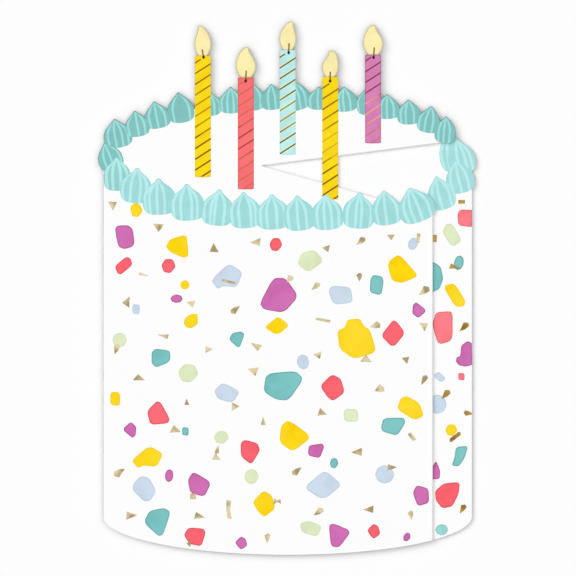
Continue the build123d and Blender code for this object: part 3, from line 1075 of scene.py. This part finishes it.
def add_blend(tree, amount, first, second):
    """Mixes two colours, each a colour or a socket, by a socket."""
    mix = tree.nodes.new("ShaderNodeMix")
    mix.data_type = "RGBA"
    tree.links.new(amount, mix.inputs["Factor"])
    for socket, value in ((mix.inputs[MIX_FIRST], first), (mix.inputs[MIX_SECOND], second)):
        if isinstance(value, bpy.types.NodeSocket):
            tree.links.new(value, socket)
        else:
            socket.default_value = (*value, 1)
    return mix.outputs[MIX_RESULT]


def add_math(tree, operation, first, second=None):
    """Works out a value from a socket and, where the operation takes two, a socket or a number."""
    node = tree.nodes.new("ShaderNodeMath")
    node.operation = operation
    tree.links.new(first, node.inputs[0])
    if isinstance(second, bpy.types.NodeSocket):
        tree.links.new(second, node.inputs[1])
    elif second is not None:
        node.inputs[1].default_value = second
    return node.outputs["Value"]


def add_range(tree, value, low, high, new_low=0.0, new_high=1.0):
    """Stretches what lies between two values to lie between two others."""
    ranged = tree.nodes.new("ShaderNodeMapRange")
    ranged.inputs["From Min"].default_value = low
    ranged.inputs["From Max"].default_value = high
    ranged.inputs["To Min"].default_value = new_low
    ranged.inputs["To Max"].default_value = new_high
    tree.links.new(value, ranged.inputs["Value"])
    return ranged.outputs["Result"]


def add_split(tree, vector):
    """The X, Y and Z of a vector."""
    split = tree.nodes.new("ShaderNodeSeparateXYZ")
    tree.links.new(vector, split.inputs["Vector"])
    return split.outputs


def add_grain(tree, shader, place, pattern, rough, relief):
    """Roughens a surface by its grain, between two values, and lets the grain stand out a little."""
    grain = add_noise(tree, place, *pattern)
    tree.links.new(add_range(tree, grain, *GRAIN_SPAN, *rough), shader.inputs["Roughness"])
    bump = tree.nodes.new("ShaderNodeBump")
    bump.inputs["Strength"].default_value = relief
    bump.inputs["Distance"].default_value = GRAIN_DEPTH
    tree.links.new(grain, bump.inputs["Height"])
    tree.links.new(bump.outputs["Normal"], shader.inputs["Normal"])


def add_seen(tree):
    """One where a surface is seen, by the camera or in metal or glass, and zero where it gives light."""
    light_path = tree.nodes.new("ShaderNodeLightPath")
    seen = light_path.outputs["Is Camera Ray"]
    for name in ("Is Glossy Ray", "Is Transmission Ray"):
        seen = add_math(tree, "MAXIMUM", seen, light_path.outputs[name])
    return seen


def scaled(colour, share):
    """A colour made darker or lighter, at most up to white."""
    return tuple(min(level * share, 1.0) for level in colour)


def thinned(colour, share):
    """An ink through which this share of the white card shows."""
    return tuple(level + (1 - level) * share for level in colour)


def sheet_material(colours):
    """Coated card: a faint mottle and fibre on its faces, and a duller core at its cut edges."""
    material, tree, shader, place = new_material("coated_card")
    tones = [scaled(colours.sheet, share) for share in SHEET_TONE_SHARES]
    face = add_blend(tree, add_noise(tree, place, *SHEET_MOTTLE), *tones)
    normal = add_split(tree, tree.nodes.new("ShaderNodeNewGeometry").outputs["True Normal"])
    edge = add_range(tree, add_math(tree, "ABSOLUTE", normal["Z"]), *CUT_EDGE_SPAN)
    tree.links.new(add_blend(tree, edge, colours.core_and_cut_shade, face), shader.inputs["Base Color"])
    add_grain(tree, shader, place, PAPER_GRAIN, rough=(0.5, 0.62), relief=0.12)
    shader.inputs["Specular IOR Level"].default_value = 0.2
    return material


def ink_material(name, colour, mottle_share=INK_MOTTLE_SHARE, wash_share=0.0):
    """Matt printing ink, a little uneven, over the grain of the card. A wash is thinner in places."""
    material, tree, shader, place = new_material(name)
    deep, pale = scaled(colour, 1 - mottle_share), scaled(colour, 1 + mottle_share)
    patches = add_range(tree, add_noise(tree, place, *INK_MOTTLE), *MOTTLE_SPAN)
    tone = add_blend(tree, patches, deep, pale)
    if wash_share:
        wash = add_range(tree, add_noise(tree, place, *INK_WASH), *WASH_SPAN)
        tone = add_blend(tree, wash, tone, thinned(pale, wash_share))
    tree.links.new(tone, shader.inputs["Base Color"])
    add_grain(tree, shader, place, PAPER_GRAIN, rough=(0.46, 0.58), relief=0.1)
    shader.inputs["Specular IOR Level"].default_value = 0.05
    return material


def cut_shade_material(colours):
    """Painted shade beside the slice's cut: the grey of the card's core in uneven tones, standing in for the
    shadow along the cut.
    """
    material, tree, shader, place = new_material("bare_core")
    tones = [scaled(colours.core_and_cut_shade, share) for share in CUT_SHADE_TONE_SHARES]
    streaks = add_range(tree, add_noise(tree, place, *CUT_SHADE_STREAKS), *MOTTLE_SPAN)
    tree.links.new(add_blend(tree, streaks, *tones), shader.inputs["Base Color"])
    add_grain(tree, shader, place, PAPER_GRAIN, rough=(0.7, 0.85), relief=0.2)
    shader.inputs["Specular IOR Level"].default_value = 0.1
    return material


def rimmed_inks(name, ink, colours, wash_share=0.0):
    """The inks of a print's rim and of what lies inside it."""
    colour = getattr(colours, ink)
    rim = ink_material(name + "_rim", scaled(colour, RIM_INK_SHARES[ink]))
    return rim, ink_material(name, colour, RIMMED_MOTTLE_SHARE, wash_share)


def finish_foil(tree, shader, place):
    """Gives a foil its metal and the fine grain of the card below it."""
    add_grain(tree, shader, place, FOIL_GRAIN, rough=(0.28, 0.42), relief=0.08)
    shader.inputs["Metallic"].default_value = 1.0


def foil_material(name, deep, pale):
    """Hot foil: metal whose colour turns from a deep to a pale tone over a few millimetres, a painted
    reflection of where the foil catches the light.
    """
    material, tree, shader, place = new_material(name)
    glint_sweep = add_range(tree, add_noise(tree, place, *FOIL_GLINT_SWEEP), *SWEEP_SPAN)
    tree.links.new(add_blend(tree, glint_sweep, deep, pale), shader.inputs["Base Color"])
    finish_foil(tree, shader, place)
    return material


def candle_foil_reflection_material(name, candle, middle_share, top, middle, foot):
    """Foil of one candle, in three tones up the candle's height: a painted reflection, lighter where the foil
    catches the light and darker where it turns away.
    """
    material, tree, shader, place = new_material(name)
    height = add_range(tree, add_split(tree, place)["Y"], candle.foot, candle.top)
    noise = add_noise(tree, place, *STRIPE_WAVER)
    waver = add_range(tree, noise, *GRAIN_SPAN, -FOIL_WAVER_SHARE, FOIL_WAVER_SHARE)
    height = add_math(tree, "ADD", height, waver)
    band_low, band_high = middle_share - FOIL_REFLECTION_BAND_SHARE, middle_share + FOIL_REFLECTION_BAND_SHARE
    rise = add_range(tree, height, band_low - FOIL_REFLECTION_FADE_SHARE, band_low)
    fall = add_range(tree, height, band_high, band_high + FOIL_REFLECTION_FADE_SHARE)
    lower = add_blend(tree, rise, foot, middle)
    tree.links.new(add_blend(tree, fall, lower, top), shader.inputs["Base Color"])
    finish_foil(tree, shader, place)
    return material


def finish_icing(name, films, inks, lay, mottle_share):
    """Lays the rim, body and ridges of a row of icing on their panel, each in its ink."""
    names = (name + "_rim", name, name + "_ridges")
    for piece_name, film, ink in zip(names, films, inks):
        finish_piece(lay(film), piece_name, ink_material(piece_name, ink, mottle_share))


class CARD_OT_sheet(bpy.types.Operator):
    """Gives the folded sheet its coated card, and paints shade along the slice's cut"""

    bl_idname = "card.sheet"
    bl_label = "Folded sheet"

    def execute(self, context):
        sizes, colours = context.scene.card_sizes, context.scene.card_colours
        CARD.data.materials.clear()
        CARD.data.materials.append(sheet_material(colours))
        cut_shade_film = print_on_front(flat_face(cut_shade_outline(sizes.lip)), CUT_SHADE_LAYERS, sizes.film)
        finish_piece(cut_shade_film, "slice_lips", cut_shade_material(colours))
        return {"FINISHED"}


class CARD_OT_back_icing(bpy.types.Operator):
    """Prints the back row of icing on the front panel"""

    bl_idname = "card.back_icing"
    bl_label = "Back icing"

    def execute(self, context):
        sizes, colours = context.scene.card_sizes, context.scene.card_colours
        dollops = [Dollop(*row) for row in BACK_ICING_SHARES]
        films = icing_films(dollops, sizes.back_ridge, sizes.back_rim, sizes.film, BACK_ICING_LAYERS)
        # The back rim is partly the printed outline and partly painted shade along the cut edge and between
        # the dollops.
        inks = (colours.back_rim, colours.back_icing, colours.back_ridge)
        finish_icing("icing_back", films, inks, lay_on_front, ICING_MOTTLE_SHARE)
        return {"FINISHED"}


class CARD_OT_slice_icing(bpy.types.Operator):
    """Prints the icing of the slice on the inside of the back panel"""

    bl_idname = "card.slice_icing"
    bl_label = "Slice icing"

    def execute(self, context):
        sizes, colours = context.scene.card_sizes, context.scene.card_colours
        dollops = [Dollop(*row) for row in SLICE_ICING_SHARES]
        films = icing_films(dollops, sizes.front_ridge, sizes.front_rim, sizes.film, SLICE_ICING_LAYERS)
        inks = (colours.slice_rim, colours.slice_icing, colours.slice_ridge)
        finish_icing("icing_slice", films, inks, lay_on_slice, SLICE_MOTTLE_SHARE)
        return {"FINISHED"}


class CARD_OT_front_icing(bpy.types.Operator):
    """Prints the front row of icing on the front panel"""

    bl_idname = "card.front_icing"
    bl_label = "Front icing"

    def execute(self, context):
        sizes, colours = context.scene.card_sizes, context.scene.card_colours
        end, *dollops = [BroadDollop(*row) for row in FRONT_ICING_SHARES]
        row_sizes = (sizes.front_ridge, sizes.front_rim, sizes.film, FRONT_ICING_LAYERS)
        end_films = icing_films([end], *row_sizes)
        for film in end_films:
            cut(film, dollops[0].outline(), "DIFFERENCE")
        dollops += [Dollop(*row) for row in CUT_EDGE_ICING_SHARES]
        films = icing_films(dollops, *row_sizes)
        inks = (colours.front_rim, colours.end_icing, colours.end_ridge)
        finish_icing("icing_end", end_films, inks, lay_on_front, ICING_MOTTLE_SHARE)
        inks = (colours.front_rim, colours.front_icing, colours.front_ridge)
        finish_icing("icing_front", films, inks, lay_on_front, ICING_MOTTLE_SHARE)
        return {"FINISHED"}


class CARD_OT_candles(bpy.types.Operator):
    """Prints the candles in their inks and stripes them with foil"""

    bl_idname = "card.candles"
    bl_label = "Candles"

    def execute(self, context):
        sizes, colours = context.scene.card_sizes, context.scene.card_colours
        rows = zip(CANDLES, CANDLE_INKS, STRIPE_START_SHARES, CANDLE_FOIL_REFLECTION_SHARES)
        for number, (candle, ink, start, (middle_share, *tones)) in enumerate(rows, start=1):
            name = "candle_%d" % number
            film = print_on_front(flat_face(candle.outline()), CANDLE_LAYERS, sizes.film)
            inset_rim(finish_piece(film, name, *rimmed_inks(name, ink, colours)), sizes.print_rim)
            # A pale band under the foil stripe paints a glint along each stripe's edges.
            if number in GLINT_CANDLES:
                lines = candle.stripes(*start, sizes.stripe_glint, sizes)
                film = print_on_front(lines, LINE_LAYERS, sizes.film)
                finish_piece(film, name + "_lines", ink_material(name + "_lines", colours.stripe_glint))
            stripes = candle.stripes(*start, sizes.stripe_width, sizes)
            film = print_on_front(stripes, STRIPE_LAYERS, sizes.film)
            name += "_foil"
            # The foil's tones paint its reflection up the candle.
            tones = [getattr(colours, tone) for tone in tones]
            finish_piece(film, name, candle_foil_reflection_material(name, candle, middle_share, *tones))
        return {"FINISHED"}


class CARD_OT_flames(bpy.types.Operator):
    """Prints the flames and their wicks"""

    bl_idname = "card.flames"
    bl_label = "Flames"

    def execute(self, context):
        sizes, colours = context.scene.card_sizes, context.scene.card_colours
        flames = [flat_face(candle.flame(*row)) for candle, row in zip(CANDLES, FLAME_SHARES)]
        wicks = [candle.wick(*row) for candle, row in zip(CANDLES, WICK_SHARES)]
        lines = [flat_face(ribbon(wick, sizes.wick)) for wick in wicks]
        tip_size = (sizes.wick_tip, WICK_TIP_STRETCH * sizes.wick_tip)
        tips = [flat_face(oval_outline(foot, *tip_size)) for foot, top in wicks]
        films = (
            (lines, WICK_LINE_LAYERS, "wick_lines", ink_material("wick_line", colours.wick_line)),
            (tips, WICK_TIP_LAYERS, "wick_tips", ink_material("wick_tip", colours.wick)),
        )
        for faces, layers, name, material in films:
            finish_piece(print_on_front(joined(faces), layers, sizes.film), name, material)
        # The flame rim is painted shadow of the die-cut edge round each flame, not a printed line.
        inks = ink_material("flame_rim", colours.flame_rim), ink_material("flame", colours.flame)
        film = print_on_front(joined(flames), FLAME_LAYERS, sizes.film)
        inset_rim(finish_piece(film, "flames", *inks), sizes.print_rim)
        return {"FINISHED"}


class CARD_OT_confetti(bpy.types.Operator):
    """Prints the confetti on the side of the cake and of the slice"""

    bl_idname = "card.confetti"
    bl_label = "Confetti"

    def execute(self, context):
        sizes, colours = context.scene.card_sizes, context.scene.card_colours
        panels = (
            ("confetti_", FRONT_CONFETTI_SHARES, print_on_front),
            ("slice_confetti_", SLICE_CONFETTI_SHARES, print_on_slice),
        )
        for start, table, print_on_panel in panels:
            for ink, rows in table.items():
                film = print_on_panel(chip_faces(rows, sizes), CONFETTI_LAYERS, sizes.film)
                inks = rimmed_inks(start + ink, ink, colours, WASH_SHARE)
                inset_rim(finish_piece(film, start + ink, *inks), sizes.print_rim)
        return {"FINISHED"}


class CARD_OT_flecks(bpy.types.Operator):
    """Stamps the foil flecks between the confetti"""

    bl_idname = "card.flecks"
    bl_label = "Foil flecks"

    def execute(self, context):
        sizes, colours = context.scene.card_sizes, context.scene.card_colours
        film = print_on_front(chip_faces(FRONT_FLECK_SHARES), FLECK_LAYERS, sizes.film)
        material = foil_material("fleck_foil", colours.foil_deep, colours.foil_pale)
        finish_piece(film, "foil_flecks", material)
        film = print_on_slice(chip_faces(SLICE_FLECK_SHARES), FLECK_LAYERS, sizes.film)
        material = foil_material("slice_fleck_foil", colours.slice_foil_deep, colours.slice_foil_pale)
        finish_piece(film, "slice_foil_flecks", material)
        return {"FINISHED"}


class CARD_OT_stage(bpy.types.Operator):
    """Sets the floor, the light and the camera"""

    bl_idname = "card.stage"
    bl_label = "Stage"

    def execute(self, context):
        stage = context.scene.card_stage
        self.add_floor(stage)
        self.add_world(context.scene, stage)
        self.add_key(stage)
        self.add_camera(context.scene, stage)
        context.scene.view_settings.view_transform = "Standard"
        return {"FINISHED"}

    def add_floor(self, stage):
        bpy.ops.object.select_all(action="DESELECT")
        bpy.ops.mesh.primitive_plane_add(size=stage.floor_size)
        floor = bpy.context.object
        raise_film(floor, -stage.floor_depth)
        floor.location.z = -stage.floor_gap
        apply_place(floor)
        floor.name = "floor"
        material, tree, shader, place = new_material("floor")
        mottle = add_noise(tree, place, *FLOOR_MOTTLE)
        tone = add_blend(tree, mottle, scaled(stage.floor, FLOOR_TONE_SHARE), stage.floor)
        tone = add_blend(tree, add_seen(tree), stage.floor_unseen, tone)
        tree.links.new(tone, shader.inputs["Base Color"])
        shader.inputs["Roughness"].default_value = 0.9
        shader.inputs["Specular IOR Level"].default_value = 0.0
        floor.data.materials.append(material)

    def add_world(self, scene, stage):
        world = bpy.data.worlds.new("studio")
        world.use_nodes = True
        tree = world.node_tree
        seen = add_seen(tree)
        direction = add_split(tree, tree.nodes.new("ShaderNodeTexCoord").outputs["Generated"])
        light = add_range(tree, direction["Z"], stage.sky_low, stage.sky_high, 0, stage.sky)
        unseen = add_math(tree, "MULTIPLY", light, add_range(tree, seen, 0, 1, 1, 0))
        background = tree.nodes["Background"]
        background.inputs["Color"].default_value = (1, 1, 1, 1)
        tree.links.new(add_math(tree, "ADD", seen, unseen), background.inputs["Strength"])
        scene.world = world

    def add_key(self, stage):
        turn = Euler((pi / 2 - stage.key_height, 0, pi + stage.key_turn))
        bpy.ops.object.light_add(type="SUN", rotation=turn)
        key = bpy.context.object
        key.name = "key_light"
        key.data.energy = stage.key
        key.data.angle = stage.key_spread

    def add_camera(self, scene, stage):
        place = (CAKE.middle + stage.camera_across, -stage.camera_down, stage.camera_height)
        bpy.ops.object.camera_add(location=place, rotation=(0, 0, 0))
        camera = bpy.context.object
        camera.name = "camera"
        camera.data.lens = stage.lens
        scene.camera = camera


OPERATORS = (
    CARD_OT_sheet,
    CARD_OT_back_icing,
    CARD_OT_slice_icing,
    CARD_OT_candles,
    CARD_OT_flames,
    CARD_OT_front_icing,
    CARD_OT_confetti,
    CARD_OT_flecks,
    CARD_OT_stage,
)


class CARD_PT_print(bpy.types.Panel):
    """Lists the steps that finish the card"""

    bl_idname = "CARD_PT_print"
    bl_label = "Birthday Card"
    bl_space_type = "VIEW_3D"
    bl_region_type = "UI"
    bl_category = "Card"

    def draw(self, context):
        for step in OPERATORS:
            self.layout.operator(step.bl_idname)


CLASSES = (CardPrintSizes, CardColours, CardStage, *OPERATORS, CARD_PT_print)


def register():
    for item in CLASSES:
        bpy.utils.register_class(item)
    bpy.types.Scene.card_sizes = PointerProperty(type=CardPrintSizes)
    bpy.types.Scene.card_colours = PointerProperty(type=CardColours)
    bpy.types.Scene.card_stage = PointerProperty(type=CardStage)


def unregister():
    del bpy.types.Scene.card_stage
    del bpy.types.Scene.card_colours
    del bpy.types.Scene.card_sizes
    for item in reversed(CLASSES):
        bpy.utils.unregister_class(item)


def main():
    register()
    bpy.ops.card.sheet()
    bpy.ops.card.back_icing()
    bpy.ops.card.slice_icing()
    bpy.ops.card.candles()
    bpy.ops.card.flames()
    bpy.ops.card.front_icing()
    bpy.ops.card.confetti()
    bpy.ops.card.flecks()
    bpy.ops.card.stage()


if __name__ == "__main__":
    main()
